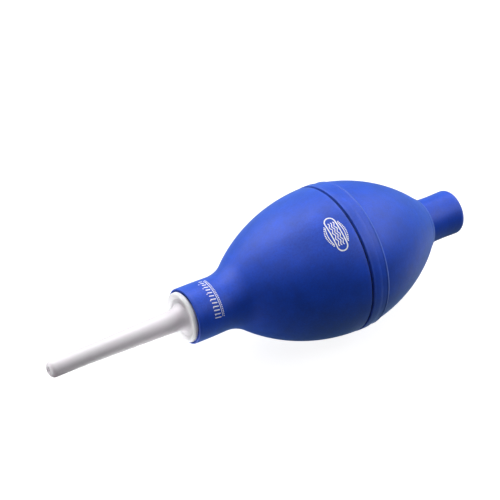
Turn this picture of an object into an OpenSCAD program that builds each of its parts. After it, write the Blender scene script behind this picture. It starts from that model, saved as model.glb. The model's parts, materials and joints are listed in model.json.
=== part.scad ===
// Dust blower bulb: a hand-squeezed air bulb with a long push-in nozzle, an outlet check valve
// in the neck, and a spring-loaded inlet check valve behind a dust filter in the tail.
// It lies on its side: +X points from the tail to the nozzle, and the bulb touches Z = 0.
// Every part is turned about one axis, so each module draws it standing on the seam plane with
// its station along Z, and on_axis() lays it down.

/* [Bulb] */
// Largest diameter, at the rim of the rear shell
bulb_d = 54; // [53:0.5:58]
// Wall thickness of both rubber shells
wall = 2.4; // [2.2:0.1:2.6]
// Radius of the arc that shapes the front shell
front_arc = 62.6; // [62:0.2:63.4]
// Radius of the arc that shapes the rear shell
rear_arc = 59.6; // [59.2:0.2:60.4]
// Outside diameter of the neck
neck_d = 19.6; // [19.4:0.1:20]
// Length of the bulb in front of the seam
front_length = 59.8; // [59:0.2:62]
// Length of the rear shell behind the seam
rear_length = 40.3; // [40.1:0.1:40.5]

/* [Nozzle] */
// Distance from the seam to the nozzle's tip
nozzle_tip = 112.6; // [105:0.1:125]
// Outside diameter of the nozzle's straight front part
nozzle_d = 6; // [5.6:0.1:6.4]
// Outside diameter of the nozzle where its trumpet root begins
nozzle_root_d = 7.8; // [7.2:0.1:8.4]
// Diameter of the hole in the tip
orifice_d = 2; // [1.6:0.1:2.4]
// Diameter of the white collar's flange
collar_d = 18; // [17.4:0.1:18.2]

/* [Tail] */
// Distance from the seam to the tail's end face
tail_end = 55; // [55:0.5:58]
// Outside diameter of the tail
tail_d = 16.2; // [15.8:0.1:16.6]
// Diameter of the inlet valve's ball
ball_d = 4.6; // [4.4:0.1:4.8]

/* [Hidden] */
$fn = 72;

blue = [0.10, 0.19, 0.66];
white = [0.93, 0.92, 0.93];

bulb_r = bulb_d / 2;
neck_r = neck_d / 2;
// The seam plane's place along X, so that the whole part is centred on X = 0
seam_x = (tail_end - nozzle_tip) / 2;

// Clearances: a running fit, and the gap between soft parts on different bodies
running = 0.05;
soft_gap = 0.05;
// How far the soft rubber flattens where the bulb lies on a surface
rest_flat = 0.25;

// Front shell: the arc's crown sits just behind the seam and a little under the rear rim
front_crown_r = bulb_r - 0.1;
front_crown_z = -1.1;
front_centre = [front_crown_r - front_arc, front_crown_z];
// Rear shell: its arc would crest in front of the seam
rear_crown_r = bulb_r + 0.1;
rear_crown_z = 2.9;
rear_centre = [rear_crown_r - rear_arc, rear_crown_z];
arc_steps = 24;

// The hollow arc that joins the front dome to the neck, tangent to both
neck_blend_z = 47;
blend_rise = neck_r - front_centre[0];
blend_run = neck_blend_z - front_centre[1];
neck_blend = (blend_run * blend_run + blend_rise * blend_rise - front_arc * front_arc)
    / (2 * (front_arc - blend_rise));
blend_centre = [neck_r + neck_blend, neck_blend_z];
blend_angle = atan2(blend_centre[1] - front_centre[1], blend_centre[0] - front_centre[0]);
neck_round = 0.9;
neck_swell = 0.15;

// Lap joint at the seam: the front shell's spigot sits inside the rear shell's rim
groove_front = 0.4;
groove_rear = -0.35;
spigot_r = bulb_r - 1.6;
spigot_end = -7.5;
bond_r = spigot_r + 0.45;
rim_edge = 0.25;
rim_land_end = -3;
band_end = -7;
band_step = 0.15;

// Lip at the rear shell's opening, which the tail plug snaps into
lip_thickness = 2;
lip_r = 7.35;
lip_seat_r = 9.4;
lip_edge = 0.6;

// Collar: flange outside the neck, barbed barrel inside it
collar_r = collar_d / 2;
barrel_r = neck_r - wall;
barb_rise = 0.4;
barb_length = 1.3;
barb_starts = [48.2, 51.2, 54.2];
collar_back = 43;
collar_front = front_length + 1.6;
collar_round = 0.95;
socket_depth = 1.3;
socket_r = 6.75;
stem_bore_r = 4.6;
valve_bore_r = 5.6;
valve_bore_end = 47.7;

// Outlet valve, from the bulb side to the nozzle side
outlet_seat_t = 1.5;
outlet_disc_r = 4.6;
outlet_disc_t = 0.8;
outlet_lift = 1.15;
cage_bore_r = 4.9;
cage_hub_r = 1.3;
cage_arm_w = 1.1;
cage_arms = 3;
outlet_holes = 6;
outlet_hole_r = 0.75;
outlet_hole_ring = 2.6;

// Nozzle: push-in stem, flange, trumpet root and tube
nozzle_r = nozzle_d / 2;
orifice_r = orifice_d / 2;
orifice_depth = 7;
nozzle_bore_r = 1.6;
nozzle_back = 51;
stem_r = stem_bore_r - running;
stem_edge = 0.6;
flange_r = 6.6;
flange_back = collar_front - socket_depth + running;
flange_front = collar_front - running;
flange_edge = 0.15;
root_r = nozzle_root_d / 2;
root_front = 66;
root_foot_r = 5.3;
root_rise = root_foot_r - root_r;
root_run = root_front - flange_front;
root_round = (root_rise * root_rise + root_run * root_run) / (2 * root_rise);
taper_front = 98;
tip_round = 1.7;
ring_z = 55;
ring_wire_r = 0.45;
ring_groove_r = 3.65;
ring_groove_w = 1.6;

// Tail plug
tail_r = tail_d / 2;
tail_round = 2.3;
plug_bore_r = 5.6;
plug_throat_r = 3.9;
plug_groove_r = lip_r - soft_gap;
plug_flange_r = lip_seat_r - 0.15;
plug_front = 36.5;
lip_back = rear_length;
lip_front = rear_length - lip_thickness;

// Inlet valve, measured backwards from the seam like the rest of the tail
valve_back = tail_end - 5.6;
valve_front = tail_end - 15.8;
inlet_hole_r = 1.4;
seat_back = valve_back - 1;
seat_ring_r = 3.6;
seat_cone_front = valve_back - 3.5;
chamber_r = 3.2;
ball_r = ball_d / 2;
// A ball rests in a 45 degree cone with its centre this far from the cone's apex
cone_apex = seat_back + inlet_hole_r;
ball_z = cone_apex - ball_r * sqrt(2) - 0.02;
retainer_t = 1.2;
retainer_pin_r = 0.9;
retainer_pin_l = 0.8;
retainer_holes = 4;
retainer_hole_r = 0.6;
retainer_hole_ring = 2.1;
valve_ring_z = valve_back - 6.4;
valve_ring_wire_r = 0.4;
valve_groove_r = plug_bore_r - 2 * valve_ring_wire_r - 0.05;
valve_groove_w = 1.1;

// Spring between the ball and the retainer
spring_r = 1.35;
spring_wire_r = 0.16;
spring_turns = 3.5;
spring_sides = 8;
spring_steps = 16;
spring_back = ball_z - sqrt(ball_r * ball_r - spring_r * spring_r) - spring_wire_r - 0.05;
spring_front = valve_front + retainer_t + spring_wire_r + 0.02;

// Filter stack under the removable cap
filter_t = 2;
filter_r = plug_bore_r - 0.1;
filter_back = valve_back + 0.1 + filter_t;
cap_r = plug_bore_r - running;
cap_back = tail_end - 0.7;
cap_plate_t = 1.1;
cap_skirt_r = 4.8;
cap_skirt_front = filter_back + 0.1;
cap_rib_h = 0.5;
cap_rib_w = 1;
cap_holes = 6;
cap_hole_r = 0.65;
cap_hole_ring = 3;
screen_t = 0.2;
screen_r = cap_skirt_r - 0.02;
screen_pitch = 0.9;
screen_hole = 0.55;

// Points of an arc from one angle to another, about a centre given as [radius, station]
function arc(centre, r, from, to, steps = arc_steps) =
    [for (i = [0:steps]) let (a = from + (to - from) * i / steps) centre + r * [cos(a), sin(a)]];

// The angle at which an arc about the centre reaches a station, or a radius
function at_station(centre, r, station) = asin((station - centre[1]) / r);
function at_radius(centre, r, radius) = acos((radius - centre[0]) / r);

// The barrel's outline from the collar's back to the neck's end, with its barbs
function barrel_points() = [
    for (s = barb_starts)
        each [[barrel_r, s], [barrel_r + barb_rise, s + barb_length], [barrel_r, s + barb_length]]
];

// Lays a part that stands on the seam plane down along X, at the height where the bulb rests
module on_axis() {
    translate([seam_x, 0, bulb_r - rest_flat])
        rotate([0, 90, 0])
            children();
}

// Cuts off what would press below the surface that the bulb lies on
module resting() {
    reach = 2 * bulb_d;
    difference() {
        children();
        translate([seam_x - reach / 2, -reach / 2, -bulb_d])
            cube([reach, reach, bulb_d]);
    }
}

// Turns an outline of [radius, station] points, with the part laid down along X
module turned(points) {
    on_axis()
        rotate_extrude()
            polygon(points);
}

// The same for the tail, where stations count backwards from the seam
module turned_back(points) {
    turned([for (p = points) [p[0], -p[1]]]);
}

// Holes spread evenly on a ring, between two stations
module ring_of_holes(count, ring, r, from, to) {
    for (i = [0:count - 1])
        rotate([0, 0, 360 * i / count])
            translate([ring, 0, from])
                cylinder(h = to - from, r = r);
}

// An O-ring at its squeezed size
module o_ring(station, ring, wire) {
    on_axis()
        translate([0, 0, station])
            rotate_extrude()
                translate([ring, 0])
                    circle(r = wire);
}

// Front half of the rubber bulb, with the neck
module front_bulb() {
    inner = front_arc - wall;
    inner_blend = neck_blend + wall;
    outer_from = at_station(front_centre, front_arc, groove_front);
    inner_from = at_station(front_centre, inner, 4);
    blend_to = blend_angle + 180;
    color(blue)
        resting()
            turned(concat(
                [[rear_inner_at_spigot(), spigot_end]],
                [[spigot_r, spigot_end], [spigot_r, groove_front]],
                arc(front_centre, front_arc, outer_from, blend_angle),
                arc(blend_centre, neck_blend, blend_to, 180, 10),
                [[neck_r + neck_swell, neck_blend_z + 6]],
                arc([neck_r + neck_swell - neck_round, front_length - neck_round], neck_round, 0, 90, 6),
                [[barrel_r, front_length]],
                [for (i = [len(barrel_points()) - 1:-1:0]) barrel_points()[i]],
                arc(blend_centre, inner_blend, 180, blend_to, 10),
                arc(front_centre, inner, blend_angle, inner_from)
            ));
}

// Radius of the rear shell's inner wall where the spigot ends
function rear_inner_at_spigot() =
    let (inner = rear_arc - wall)
    rear_centre[0] + inner * cos(at_station(rear_centre, inner, spigot_end));

// Rear half of the rubber bulb, with the rim band and the lip for the tail
module rear_bulb() {
    inner = rear_arc - wall;
    lip_outer_r = rear_centre[0]
        + rear_arc * cos(at_station(rear_centre, rear_arc, -(rear_length - lip_edge)));
    color(blue)
        resting()
            turned(concat(
                [[spigot_r, groove_rear], [bulb_r - rim_edge, groove_rear]],
                [[bulb_r, groove_rear - rim_edge], [bulb_r, rim_land_end]],
                [[outer_r_at(band_end) + band_step, band_end]],
                arc(rear_centre, rear_arc,
                    at_station(rear_centre, rear_arc, band_end - band_step),
                    at_station(rear_centre, rear_arc, -(rear_length - lip_edge))),
                [[lip_outer_r - lip_edge, -rear_length], [lip_r, -rear_length], [lip_r, -lip_front]],
                [[lip_seat_r, -lip_front]],
                arc(rear_centre, inner,
                    -at_radius(rear_centre, inner, lip_seat_r),
                    at_station(rear_centre, inner, spigot_end)),
                [[spigot_r, spigot_end]]
            ));
}

// Radius of the rear shell's outer arc at a station
function outer_r_at(station) =
    rear_centre[0] + rear_arc * cos(at_station(rear_centre, rear_arc, station));

// Bead of adhesive at the bottom of the seam's groove
module seam_bond() {
    color([0.04, 0.07, 0.32])
        turned([
            [spigot_r, groove_rear], [bond_r, groove_rear],
            [bond_r, groove_front], [spigot_r, groove_front]
        ]);
}

// White collar held in the neck by its barbs, with the nozzle's socket and the outlet valve's bore
module nozzle_collar() {
    round_centre = [collar_r - collar_round, collar_front - collar_round];
    socket_floor = collar_front - socket_depth;
    color(white)
        turned(concat(
            [[valve_bore_r, collar_back], [barrel_r - 0.5, collar_back], [barrel_r, collar_back + 0.8]],
            barrel_points(),
            [[barrel_r, front_length], [collar_r, front_length]],
            arc(round_centre, collar_round, 0, 90, 8),
            [[socket_r, collar_front], [socket_r, socket_floor], [stem_bore_r, socket_floor]],
            [[stem_bore_r, valve_bore_end], [valve_bore_r, valve_bore_end]]
        ));
}

// Perforated plate that the outlet valve's disc closes
module outlet_valve_seat() {
    front = collar_back + outlet_seat_t;
    color(white)
        on_axis()
            difference() {
                translate([0, 0, collar_back])
                    cylinder(h = outlet_seat_t, r = valve_bore_r);
                ring_of_holes(outlet_holes, outlet_hole_ring, outlet_hole_r, collar_back - 1, front + 1);
            }
}

// Loose silicone disc that lifts towards the nozzle when the bulb is squeezed
module outlet_valve_disc() {
    color([0.75, 0.76, 0.74])
        on_axis()
            translate([0, 0, collar_back + outlet_seat_t + 0.02])
                cylinder(h = outlet_disc_t, r = outlet_disc_r);
}

// Ring with three arms that stops the disc
module outlet_valve_cage() {
    back = collar_back + outlet_seat_t;
    arms = back + 0.02 + outlet_disc_t + outlet_lift + 0.03;
    color(white)
        on_axis() {
            difference() {
                translate([0, 0, back])
                    cylinder(h = valve_bore_end - back, r = valve_bore_r);
                translate([0, 0, back - 1])
                    cylinder(h = valve_bore_end - back + 2, r = cage_bore_r);
            }
            intersection() {
                translate([0, 0, arms])
                    cylinder(h = valve_bore_end - arms, r = cage_bore_r + 0.2);
                union() {
                    translate([0, 0, arms])
                        cylinder(h = valve_bore_end - arms, r = cage_hub_r);
                    for (i = [0:cage_arms - 1])
                        rotate([0, 0, 360 * i / cage_arms])
                            translate([0, -cage_arm_w / 2, arms])
                                cube([cage_bore_r + 1, cage_arm_w, valve_bore_end - arms]);
                }
            }
        }
}

// White nozzle: stem with its ring groove, flange, trumpet root and tube
module nozzle() {
    groove_back = ring_z - ring_groove_w / 2;
    groove_front = ring_z + ring_groove_w / 2;
    bore_front = nozzle_tip - orifice_depth;
    bore_cone = bore_front - (nozzle_bore_r - orifice_r) * 2;
    color(white)
        turned(concat(
            [[nozzle_bore_r, nozzle_back], [stem_r - stem_edge, nozzle_back]],
            [[stem_r, nozzle_back + stem_edge], [stem_r, groove_back], [ring_groove_r, groove_back]],
            [[ring_groove_r, groove_front], [stem_r, groove_front], [stem_r, flange_back]],
            [[flange_r, flange_back], [flange_r, flange_front - flange_edge]],
            [[flange_r - flange_edge, flange_front]],
            arc([root_r + root_round, root_front], root_round, 180 + asin(root_run / root_round), 180, 12),
            [[nozzle_r, taper_front]],
            arc([nozzle_r - tip_round, nozzle_tip - tip_round], tip_round, 0, 90, 8),
            [[orifice_r, nozzle_tip], [orifice_r, bore_front], [nozzle_bore_r, bore_cone]]
        ));
}

// O-ring in the nozzle stem's groove
module nozzle_seal() {
    color([0.08, 0.08, 0.09])
        o_ring(ring_z, ring_groove_r + ring_wire_r + 0.02, ring_wire_r);
}

// Blue tail: its groove holds the rear shell's lip, and its bore holds the inlet valve and filter
module tail_plug() {
    color(blue)
        turned_back(concat(
            [[plug_throat_r, plug_front], [plug_flange_r - 0.5, plug_front]],
            [[plug_flange_r, plug_front + 0.5], [plug_flange_r, lip_front - soft_gap]],
            [[plug_groove_r, lip_front - soft_gap], [plug_groove_r, lip_back + soft_gap]],
            [[tail_r, lip_back + soft_gap]],
            arc([tail_r - tail_round, tail_end - tail_round], tail_round, 0, 90, 10),
            [[plug_bore_r, tail_end], [plug_bore_r, valve_front], [plug_throat_r, valve_front]]
        ));
}

// Brass valve body pressed into the tail
module inlet_valve_body() {
    groove_front = valve_ring_z - valve_groove_w / 2;
    groove_back = valve_ring_z + valve_groove_w / 2;
    color([0.78, 0.66, 0.36])
        turned_back([
            [inlet_hole_r, valve_back], [plug_bore_r, valve_back], [plug_bore_r, groove_back],
            [valve_groove_r, groove_back], [valve_groove_r, groove_front],
            [plug_bore_r, groove_front], [plug_bore_r, valve_front], [chamber_r, valve_front],
            [chamber_r, seat_cone_front], [seat_ring_r, seat_cone_front],
            [seat_ring_r, seat_back], [inlet_hole_r, seat_back]
        ]);
}

// Soft seat ring that the ball closes against
module inlet_valve_seat() {
    lip = chamber_r - 0.2;
    color([0.08, 0.08, 0.09])
        turned_back([
            [inlet_hole_r, seat_back], [seat_ring_r, seat_back], [seat_ring_r, seat_cone_front],
            [chamber_r, seat_cone_front], [lip, cone_apex - lip]
        ]);
}

// O-ring round the valve body
module inlet_valve_seal() {
    color([0.08, 0.08, 0.09])
        o_ring(-valve_ring_z, valve_groove_r + valve_ring_wire_r + 0.02, valve_ring_wire_r);
}

// Steel ball that lifts into the bulb as the bulb fills
module inlet_valve_ball() {
    color([0.75, 0.76, 0.78])
        on_axis()
            translate([0, 0, -ball_z])
                sphere(r = ball_r);
}

// Coil spring swept along its helix, with the ends closed
module inlet_valve_spring() {
    steps = ceil(spring_turns * spring_steps);
    length = spring_back - spring_front;
    points = [
        for (i = [0:steps])
            let (turn = 360 * spring_turns * i / steps)
            for (k = [0:spring_sides - 1])
                let (a = 360 * k / spring_sides, r = spring_r + spring_wire_r * cos(a))
                [r * cos(turn), r * sin(turn), length * i / steps + spring_wire_r * sin(a)]
    ];
    last = steps * spring_sides;
    faces = concat(
        [[for (k = [0:spring_sides - 1]) k]],
        [
            for (i = [0:steps - 1])
                for (k = [0:spring_sides - 1])
                    let (a = i * spring_sides + k, b = i * spring_sides + (k + 1) % spring_sides)
                    each [[a, a + spring_sides, b + spring_sides], [a, b + spring_sides, b]]
        ],
        [[for (k = [spring_sides - 1:-1:0]) last + k]]
    );
    color([0.75, 0.76, 0.78])
        on_axis()
            translate([0, 0, -spring_back])
                polyhedron(points, faces);
}

// Perforated disc that the spring pushes on, with a pin that centres it
module inlet_valve_retainer() {
    back = valve_front + retainer_t;
    color([0.78, 0.66, 0.36])
        on_axis()
            difference() {
                union() {
                    translate([0, 0, -back])
                        cylinder(h = retainer_t, r = chamber_r);
                    translate([0, 0, -back - retainer_pin_l])
                        cylinder(h = retainer_pin_l + 0.5, r = retainer_pin_r);
                }
                ring_of_holes(retainer_holes, retainer_hole_ring, retainer_hole_r,
                    -back - 1, -valve_front + 1);
            }
}

// Foam disc that catches dust before the valve
module dust_filter() {
    color([0.30, 0.31, 0.33])
        on_axis()
            translate([0, 0, -filter_back])
                cylinder(h = filter_t, r = filter_r);
}

// Woven screen behind the cap's holes, drawn as a plate with square meshes
module filter_screen() {
    cells = floor(screen_r / screen_pitch);
    reach = screen_r - screen_hole;
    color([0.75, 0.76, 0.78])
        on_axis()
            translate([0, 0, -cap_back + cap_plate_t])
                linear_extrude(height = screen_t)
                    difference() {
                        circle(r = screen_r);
                        for (i = [-cells:cells], j = [-cells:cells])
                            if (norm([i, j]) * screen_pitch < reach)
                                translate([i, j] * screen_pitch)
                                    square(screen_hole, center = true);
                    }
}

// Push-in end cap with air holes and a rib to pull it by
module filter_cap() {
    plate_front = cap_back - cap_plate_t;
    color(white)
        on_axis()
            difference() {
                union() {
                    difference() {
                        translate([0, 0, -cap_back])
                            cylinder(h = cap_back - cap_skirt_front, r = cap_r);
                        translate([0, 0, -plate_front])
                            cylinder(h = plate_front - cap_skirt_front + 1, r = cap_skirt_r);
                    }
                    translate([-cap_r + 1, -cap_rib_w / 2, -cap_back - cap_rib_h])
                        cube([2 * cap_r - 2, cap_rib_w, cap_rib_h + 0.2]);
                }
                rotate([0, 0, 180 / cap_holes])
                    ring_of_holes(cap_holes, cap_hole_ring, cap_hole_r,
                        -cap_back - cap_rib_h - 1, -plate_front + 0.5);
            }
}

front_bulb();
rear_bulb();
seam_bond();
nozzle_collar();
outlet_valve_seat();
outlet_valve_disc();
outlet_valve_cage();
nozzle();
nozzle_seal();
tail_plug();
inlet_valve_body();
inlet_valve_seat();
inlet_valve_seal();
inlet_valve_ball();
inlet_valve_spring();
inlet_valve_retainer();
dust_filter();
filter_screen();
filter_cap();
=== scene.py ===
"""Dust blower bulb: the looks of each piece, built round the packed frame, on a pale studio floor."""

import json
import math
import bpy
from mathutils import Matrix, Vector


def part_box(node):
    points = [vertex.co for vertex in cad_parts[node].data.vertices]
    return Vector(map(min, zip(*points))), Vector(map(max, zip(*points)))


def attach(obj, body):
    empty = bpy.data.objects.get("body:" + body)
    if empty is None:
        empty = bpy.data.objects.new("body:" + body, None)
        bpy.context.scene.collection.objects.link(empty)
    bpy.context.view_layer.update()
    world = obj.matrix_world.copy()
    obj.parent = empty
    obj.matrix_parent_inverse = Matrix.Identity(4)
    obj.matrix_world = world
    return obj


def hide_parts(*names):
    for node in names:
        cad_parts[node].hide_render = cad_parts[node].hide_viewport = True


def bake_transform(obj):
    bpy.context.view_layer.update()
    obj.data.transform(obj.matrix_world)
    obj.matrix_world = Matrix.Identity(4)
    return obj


bl_info = {
    "name": "Dust Blower Bulb",
    "version": (1, 0, 0),
    "blender": (4, 5, 0),
    "location": "View3D > Sidebar > Blower",
    "description": "Builds a hand-squeezed dust blower with its valves, filter and nozzle",
    "category": "Object",
}

import bmesh
import bpy
from bpy.props import (
    FloatProperty,
    FloatVectorProperty,
    IntProperty,
    PointerProperty,
)
from mathutils import Vector, noise

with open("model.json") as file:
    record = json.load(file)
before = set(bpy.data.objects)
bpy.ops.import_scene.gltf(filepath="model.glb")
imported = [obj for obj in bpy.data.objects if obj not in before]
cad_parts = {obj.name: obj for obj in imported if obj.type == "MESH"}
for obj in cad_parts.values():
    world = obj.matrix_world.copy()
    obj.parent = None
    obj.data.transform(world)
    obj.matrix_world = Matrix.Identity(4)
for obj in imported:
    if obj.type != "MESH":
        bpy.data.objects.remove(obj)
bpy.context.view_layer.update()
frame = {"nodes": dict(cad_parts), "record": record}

MOUNTS = {mount["name"]: mount for mount in frame["record"]["mounts"]}


class Box:
    """A CAD node's place: its ends along X and its largest radius about the bulb's axis."""

    def __init__(self, node):
        low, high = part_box(node)
        self.back, self.front, self.radius = low.x, high.x, high.y


def mount_radius(name):
    """A round mount's radius, in metres."""
    return MOUNTS[name]["dims"]["r_mm"] / 1000


def mount_length(name):
    """A mount's length, in metres."""
    return MOUNTS[name]["dims"]["length_mm"] / 1000


RIM_RADIUS = Box("rear_bulb").radius
AXIS_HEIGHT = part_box("rear_bulb")[1].z - RIM_RADIUS
SEAM = Box("seam_bond")

# Roundings of small edges, in metres
FINE_EDGE = 0.0001
EDGE = 0.0002
SOFT_EDGE = 0.0003
# The gap between pieces that slide past each other
RUNNING = 0.00005
# How far along the neck its swelling over the collar's barrel takes to grow
SWELL_RUN = 0.006


# Sizes and colours


class BulbSettings(bpy.types.PropertyGroup):
    """The two rubber shells and the glue between them."""

    wall: FloatProperty(
        name="Wall", description="Thickness of the rubber", default=0.0024, unit="LENGTH", precision=4
    )
    front_arc: FloatProperty(
        name="Front arc",
        description="Radius of the arc that shapes the front shell",
        default=0.0626,
        unit="LENGTH",
        precision=4,
    )
    front_crown: FloatProperty(
        name="Front crown",
        description="How far behind the seam the front shell's arc would crest",
        default=0.0011,
        unit="LENGTH",
        precision=4,
    )
    rear_arc: FloatProperty(
        name="Rear arc",
        description="Radius of the arc that shapes the rear shell",
        default=0.0596,
        unit="LENGTH",
        precision=4,
    )
    rear_crown: FloatProperty(
        name="Rear crown",
        description="How far in front of the seam the rear shell's arc would crest",
        default=0.0029,
        unit="LENGTH",
        precision=4,
    )
    crown_step: FloatProperty(
        name="Crown step",
        description="How far the front shell sits below the rear shell's rim, and the rear arc above it",
        default=0.0001,
        unit="LENGTH",
        precision=4,
    )
    neck_radius: FloatProperty(
        name="Neck radius", description="Radius of the neck", default=0.0098, unit="LENGTH", precision=4
    )
    neck_back: FloatProperty(
        name="Neck back",
        description="Distance from the seam to where the neck becomes straight",
        default=0.047,
        unit="LENGTH",
        precision=4,
    )
    neck_swell: FloatProperty(
        name="Neck swell",
        description="How much the neck swells over the collar's barrel",
        default=0.00015,
        unit="LENGTH",
        precision=5,
    )
    neck_round: FloatProperty(
        name="Neck rounding",
        description="Radius of the neck's rounded end",
        default=0.0003,
        unit="LENGTH",
        precision=4,
    )
    collar_gap: FloatProperty(
        name="Collar gap",
        description="Width of the groove between the neck's end and the collar",
        default=0.00045,
        unit="LENGTH",
        precision=5,
    )
    rim_band: FloatProperty(
        name="Rim band",
        description="Width of the band behind the seam, from the rim to its ridge",
        default=0.0066,
        unit="LENGTH",
        precision=4,
    )
    ridge_height: FloatProperty(
        name="Ridge height",
        description="Height of the ridge at the band's back",
        default=0.0003,
        unit="LENGTH",
        precision=5,
    )
    colour: FloatVectorProperty(
        name="Blue",
        description="The rubber's colour",
        subtype="COLOR",
        default=(0.003, 0.064, 0.600),
        min=0,
        max=1,
    )
    roughness: FloatProperty(
        name="Rubber roughness", description="Roughness of the rubber", default=0.50, min=0, max=1
    )


class NozzleSettings(bpy.types.PropertyGroup):
    """The nozzle and the collar that holds it."""

    root_radius: FloatProperty(
        name="Root radius",
        description="Radius of the tube where the trumpet root begins",
        default=0.0039,
        unit="LENGTH",
        precision=4,
    )
    dish: FloatProperty(
        name="Dish depth",
        description="How far the collar's face and the flange lie behind the collar's rim",
        default=0.0006,
        unit="LENGTH",
        precision=5,
    )
    foot_radius: FloatProperty(
        name="Foot radius",
        description="Radius of the trumpet root where it meets the flange",
        default=0.0053,
        unit="LENGTH",
        precision=4,
    )
    root_length: FloatProperty(
        name="Root length",
        description="Length of the trumpet root",
        default=0.0040,
        unit="LENGTH",
        precision=5,
    )
    tip_round: FloatProperty(
        name="Tip rounding",
        description="Radius of the rounded tip",
        default=0.0017,
        unit="LENGTH",
        precision=4,
    )
    bore_radius: FloatProperty(
        name="Bore radius",
        description="Radius of the nozzle's bore",
        default=0.0016,
        unit="LENGTH",
        precision=4,
    )
    socket_depth: FloatProperty(
        name="Socket depth",
        description="Depth of the collar's socket",
        default=0.0013,
        unit="LENGTH",
        precision=4,
    )
    stem_radius: FloatProperty(
        name="Stem radius",
        description="Radius of the stem in the collar",
        default=0.00455,
        unit="LENGTH",
        precision=5,
    )
    collar_round: FloatProperty(
        name="Collar rounding",
        description="Radius of the collar's rounded edge",
        default=0.0009,
        unit="LENGTH",
        precision=4,
    )
    socket_radius: FloatProperty(
        name="Socket radius",
        description="Radius of the collar's recessed socket",
        default=0.00675,
        unit="LENGTH",
        precision=5,
    )
    colour: FloatVectorProperty(
        name="Nozzle white",
        description="Colour of the nozzle",
        subtype="COLOR",
        default=(0.87, 0.82, 0.88),
        min=0,
        max=1,
    )
    # Painted light: the collar's white plastic is made brighter than the nozzle's same plastic, to stand
    # in for the light it catches.
    collar_white_with_painted_light: FloatVectorProperty(
        name="Collar white",
        description="Colour of the collar",
        subtype="COLOR",
        default=(0.97, 0.95, 0.97),
        min=0,
        max=1,
    )


class TailSettings(bpy.types.PropertyGroup):
    """The tail with its inlet valve, filter and cap."""

    end_round: FloatProperty(
        name="End rounding",
        description="Radius of the tail's rounded end",
        default=0.0023,
        unit="LENGTH",
        precision=4,
    )
    cap_holes: IntProperty(
        name="Cap holes", description="Number of air holes in the cap", default=6, min=3
    )
    cap_hole_radius: FloatProperty(
        name="Cap hole radius",
        description="Radius of each air hole",
        default=0.00065,
        unit="LENGTH",
        precision=5,
    )
    cap_hole_ring: FloatProperty(
        name="Cap hole ring",
        description="Radius of the circle that the air holes lie on",
        default=0.003,
        unit="LENGTH",
        precision=4,
    )
    wire: FloatProperty(
        name="Screen wire",
        description="Radius of the filter screen's wires",
        default=0.00005,
        unit="LENGTH",
        precision=6,
    )
    wire_pitch: FloatProperty(
        name="Screen pitch",
        description="Distance between the screen's wires",
        default=0.0006,
        unit="LENGTH",
        precision=5,
    )
    spring_turns: FloatProperty(
        name="Spring turns", description="Turns of the valve spring", default=3.5, min=2, max=6
    )


class PrintSettings(bpy.types.PropertyGroup):
    """The generic printed marks: an air mark on the shell and a band of bars on the neck."""

    ink: FloatVectorProperty(
        name="Ink",
        description="Colour of the print",
        subtype="COLOR",
        default=(0.95, 0.96, 0.99),
        min=0,
        max=1,
    )
    height: FloatProperty(
        name="Ink height",
        description="How far the print stands off the rubber",
        default=0.00004,
        unit="LENGTH",
        precision=6,
    )
    mark_station: FloatProperty(
        name="Air mark place",
        description="Distance of the air mark's middle in front of the seam",
        default=0.0072,
        unit="LENGTH",
        precision=4,
    )
    mark_angle: FloatProperty(
        name="Air mark turn",
        description="Turn of the air mark about the bulb's axis, up from the side",
        default=math.radians(57.5),
        unit="ROTATION",
    )
    band_station: FloatProperty(
        name="Neck print place",
        description="Distance of the neck's print in front of the seam",
        default=0.0515,
        unit="LENGTH",
        precision=4,
    )
    band_from: FloatProperty(
        name="Neck print start",
        description="Where the neck's print starts, up from the side",
        default=math.radians(14),
        unit="ROTATION",
    )
    band_to: FloatProperty(
        name="Neck print end",
        description="Where the neck's print ends, up from the side",
        default=math.radians(104),
        unit="ROTATION",
    )


class StudioSettings(bpy.types.PropertyGroup):
    """The floor, the lights and the camera."""

    azimuth: FloatProperty(
        name="Azimuth",
        description="The camera's turn about the object",
        default=math.radians(146.31),
        unit="ROTATION",
    )
    elevation: FloatProperty(
        name="Elevation",
        description="The camera's height above the horizon",
        default=math.radians(35.46),
        unit="ROTATION",
    )
    distance: FloatProperty(
        name="Distance", description="From the camera to its aim", default=0.8, unit="LENGTH"
    )
    lens: FloatProperty(name="Lens", description="Focal length in millimetres", default=164.12)
    aim: FloatVectorProperty(
        name="Aim",
        description="The point in the middle of the view, from the seam's centre",
        default=(0.021802, -0.016866, 0.002725),
        unit="LENGTH",
        precision=6,
    )
    brightness: FloatProperty(
        name="Brightness", description="Factor on every studio light", default=1.0, min=0, max=5
    )
    nozzle_bounce: FloatProperty(
        name="Nozzle bounce",
        description="Watts that the table gives back to the nozzle's underside",
        default=0.0115,
        min=0,
        precision=4,
    )
    tail_bounce: FloatProperty(
        name="Tail bounce",
        description="Watts that the table gives back to the tail's underside",
        default=0.0022,
        min=0,
        precision=4,
    )
    floor_glow: FloatProperty(
        name="Floor glow",
        description="How bright the floor stays in shadow, as on a lit white table",
        default=0.90,
        min=0,
        max=1,
    )


GROUPS = {
    "blower_bulb": BulbSettings,
    "blower_nozzle": NozzleSettings,
    "blower_tail": TailSettings,
    "blower_print": PrintSettings,
    "blower_studio": StudioSettings,
}


def settings(name):
    """The scene's settings of that name."""
    return getattr(bpy.context.scene, name)


# Outlines: lists of (x, radius) points about the bulb's axis


def arc(centre, radius, start, end, steps=24):
    """Points of an arc about a centre (x, radius), from one angle to another, in degrees."""
    points = []
    for i in range(steps + 1):
        angle = math.radians(start + (end - start) * i / steps)
        points.append((centre[0] + radius * math.cos(angle), centre[1] + radius * math.sin(angle)))
    return points


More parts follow.
